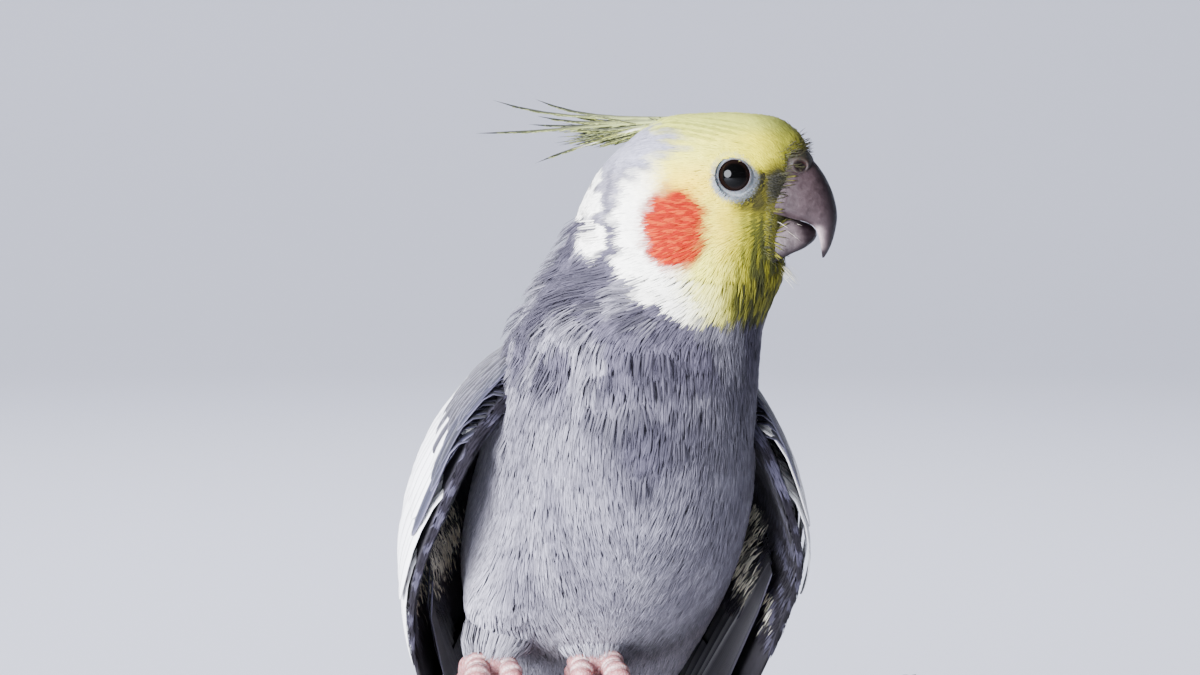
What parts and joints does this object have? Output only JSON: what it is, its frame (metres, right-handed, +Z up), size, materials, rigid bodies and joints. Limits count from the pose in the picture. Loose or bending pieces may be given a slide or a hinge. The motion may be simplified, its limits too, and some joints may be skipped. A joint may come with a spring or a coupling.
{
  "type": "perched cockatiel model",
  "caption": "Life-size still model of a perched cockatiel looking over its left shoulder, crest laid back, gripping a short branch held by a plain display stand.",
  "frame": {"origin": "centre of the stand base's underside, which lies on the floor", "axes": "+Z up, -Y the way the bird's breast faces, +X the bird's left; the tail hangs towards +Y"},
  "size_m": [0.132, 0.186, 0.2608],
  "materials": {
    "grey_feather": "soft grey feather",
    "dark_feather": "dark grey and white feather",
    "head_feather": "yellow and white feather",
    "bill": "grey horn",
    "cere": "bare brown-grey skin",
    "eye": "wet dark eye",
    "foot_skin": "scaled pink-grey skin",
    "claw": "dark horn",
    "branch": "bark with sawn ends",
    "stand_wood": "dark oiled wood",
    "stand_metal": "brushed metal"
  },
  "bodies": {
    "root": {"bill_lower": "bill", "bill_upper": "bill", "cere": "cere", "claw_left_inner_back": "claw", "claw_left_inner_front": "claw", "claw_left_outer_back": "claw", "claw_left_outer_front": "claw", "claw_right_inner_back": "claw", "claw_right_inner_front": "claw", "claw_right_outer_back": "claw", "claw_right_outer_front": "claw", "eye_left": "eye", "eye_right": "eye", "head": "head_feather", "leg_left": "foot_skin", "leg_right": "foot_skin", "neck": "grey_feather", "perch": "branch", "stand_base": "stand_wood", "stand_rod_left": "stand_metal", "stand_rod_right": "stand_metal", "tail": "grey_feather", "torso": "grey_feather", "wing_left": "dark_feather", "wing_right": "dark_feather"}
  },
  "joints": []
}
